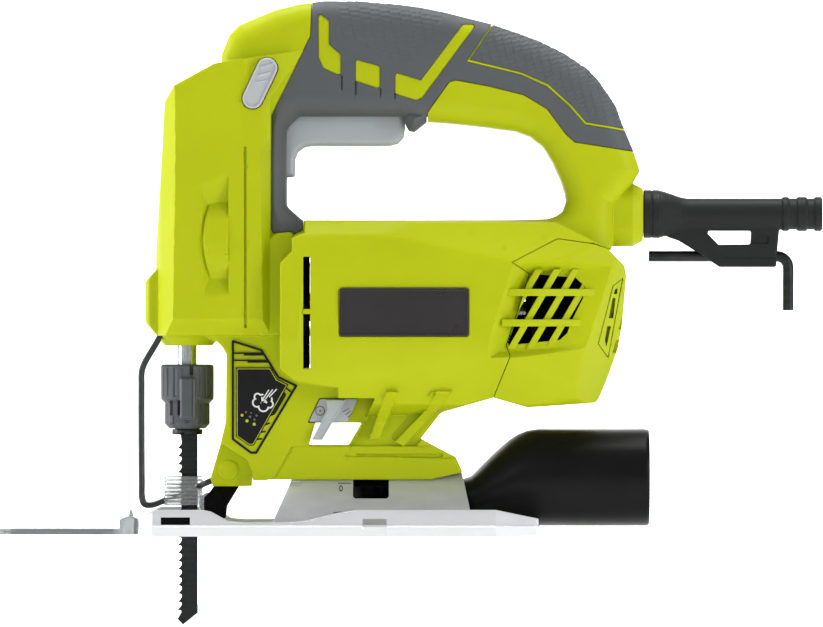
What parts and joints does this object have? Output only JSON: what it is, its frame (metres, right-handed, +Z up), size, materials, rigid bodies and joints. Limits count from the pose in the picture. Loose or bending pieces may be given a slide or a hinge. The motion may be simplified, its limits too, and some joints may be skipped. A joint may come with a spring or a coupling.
{
  "type": "jigsaw power tool",
  "caption": "Corded D-handle jigsaw with a reciprocating blade, tilting shoe, dust adapter and guide roller.",
  "frame": {"origin": "on the sole of the shoe, on the centre plane, midway along the shoe", "axes": "+X towards the cord, +Y towards the tool's right side, +Z up through the handle"},
  "size_m": [0.3206, 0.075, 0.2428],
  "materials": {
    "green_housing": "satin moulded nylon, lime green",
    "soft_grip": "dark grey moulded rubber with raised texture",
    "trigger_grey": "light grey moulded plastic",
    "black_plastic": "black moulded plastic, soft gloss",
    "black_rubber": "black rubber, smooth",
    "dark_grey_plastic": "dark grey moulded plastic",
    "badge_dark": "blank dark nameplate",
    "cast_aluminium": "bright cast aluminium",
    "zinc_steel": "pressed sheet steel, zinc plated",
    "bright_steel": "ground and polished steel",
    "black_steel": "black oxide steel",
    "wire_steel": "dark grey coated spring wire",
    "copper": "enamelled copper",
    "laminate": "stacked silicon steel sheets",
    "bronze": "sintered bronze",
    "carbon": "pressed carbon",
    "clear_plastic": "clear polycarbonate"
  },
  "bodies": {
    "housing": {"housing_left": "green_housing", "housing_right": "green_housing", "rear_cover": "green_housing", "grip_left": "soft_grip", "grip_right": "soft_grip", "heel_pad_left": "soft_grip", "heel_pad_right": "soft_grip", "badge_left": "badge_dark", "badge_right": "badge_dark", "housing_screw_1": "black_steel", "housing_screw_2": "black_steel", "housing_screw_3": "black_steel", "housing_screw_4": "black_steel", "housing_screw_5": "black_steel", "housing_screw_6": "black_steel", "gear_frame": "cast_aluminium", "plunger_bush_lower": "bronze", "plunger_bush_upper": "bronze", "gear_shaft": "bright_steel", "front_bearing": "bright_steel", "rear_bearing": "bright_steel", "rear_bearing_bridge": "black_plastic", "stator_core": "laminate", "field_coil_upper": "copper", "field_coil_lower": "copper", "brush_holder_left": "bronze", "brush_holder_right": "bronze", "carbon_brush_left": "carbon", "carbon_brush_right": "carbon", "switch_body": "black_plastic", "cord_guard": "black_rubber", "wire_guard": "wire_steel", "chip_shield": "clear_plastic", "fork_pin": "bright_steel", "trigger_pin": "bright_steel", "clamp_saddle": "black_steel"},
    "plunger": {"plunger_rod": "bright_steel", "scotch_yoke": "zinc_steel", "yoke_slider": "bronze", "clamp_core": "black_steel", "blade": "black_steel"},
    "clamp_collar": {"clamp_collar": "dark_grey_plastic"},
    "armature": {"motor_shaft": "bright_steel", "armature_core": "laminate", "armature_winding": "copper", "commutator": "copper", "cooling_fan": "black_plastic"},
    "drive_gear": {"drive_gear": "zinc_steel", "crank_pin": "bright_steel"},
    "trigger": {"trigger": "trigger_grey"},
    "lock_button": {"lock_button": "trigger_grey"},
    "blower_lever": {"blower_lever": "trigger_grey"},
    "roller_fork": {"roller_fork": "black_plastic"},
    "guide_roller": {"guide_roller": "bright_steel"},
    "shoe": {"shoe": "cast_aluminium", "bevel_bracket": "zinc_steel", "line_guide": "clear_plastic"},
    "dust_adapter": {"dust_adapter": "black_plastic"},
    "bevel_screw": {"bevel_screw": "black_steel"},
    "hex_key": {"hex_key": "black_steel"}
  },
  "joints": [
    {"name": "plunger_stroke", "type": "slide", "parent": "housing", "child": "plunger", "axis": [0, 0, 1], "range_m": [-0.0125, 0.0065]},
    {"name": "collar_turn", "type": "hinge", "parent": "plunger", "child": "clamp_collar", "pos_m": [-0.0595, 0, 0.0539], "axis": [0, 0, 1], "range_deg": [0, 40], "stiffness_Nm_per_rad": 0.12},
    {"name": "armature_spin", "type": "hinge", "parent": "housing", "child": "armature", "pos_m": [0, 0, 0.087], "axis": [1, 0, 0], "continuous": true},
    {"name": "gear_spin", "type": "hinge", "parent": "housing", "child": "drive_gear", "pos_m": [-0.047, 0, 0.115], "axis": [1, 0, 0], "continuous": true},
    {"name": "trigger_pull", "type": "hinge", "parent": "housing", "child": "trigger", "pos_m": [-0.024, 0, 0.1415], "axis": [0, -1, 0], "range_deg": [0, 5], "stiffness_Nm_per_rad": 3, "springref_deg": -5.16},
    {"name": "lock_button_press", "type": "slide", "parent": "housing", "child": "lock_button", "axis": [0, 1, 0], "range_m": [0, 0.003], "stiffness_N_per_m": 600, "springref_m": -0.002},
    {"name": "blower_lever_slide", "type": "slide", "parent": "housing", "child": "blower_lever", "axis": [1, 0, 0], "range_m": [0, 0.006]},
    {"name": "roller_fork_swing", "type": "hinge", "parent": "housing", "child": "roller_fork", "pos_m": [-0.0433, 0, 0.0252], "axis": [0, -1, 0], "range_deg": [0, 3]},
    {"name": "guide_roller_spin", "type": "hinge", "parent": "roller_fork", "child": "guide_roller", "pos_m": [-0.0506, 0, 0.012], "axis": [0, 1, 0], "continuous": true},
    {"name": "shoe_bevel", "type": "hinge", "parent": "housing", "child": "shoe", "pos_m": [0, 0, 0], "axis": [1, 0, 0], "range_deg": [-45, 45]},
    {"name": "dust_adapter_slide", "type": "slide", "parent": "shoe", "child": "dust_adapter", "axis": [1, 0, 0], "range_m": [0, 0.04]},
    {"name": "bevel_screw_turn", "type": "hinge", "parent": "housing", "child": "bevel_screw", "pos_m": [0.0115, 0, 0.02], "axis": [0, 0, 1], "range_deg": [0, 180]},
    {"name": "hex_key_slide", "type": "slide", "parent": "housing", "child": "hex_key", "axis": [1, 0, 0], "range_m": [0, 0.06]}
  ],
  "couplings": [
    {"joint": "gear_spin", "follows": "armature_spin", "ratio": -0.16667}
  ]
}
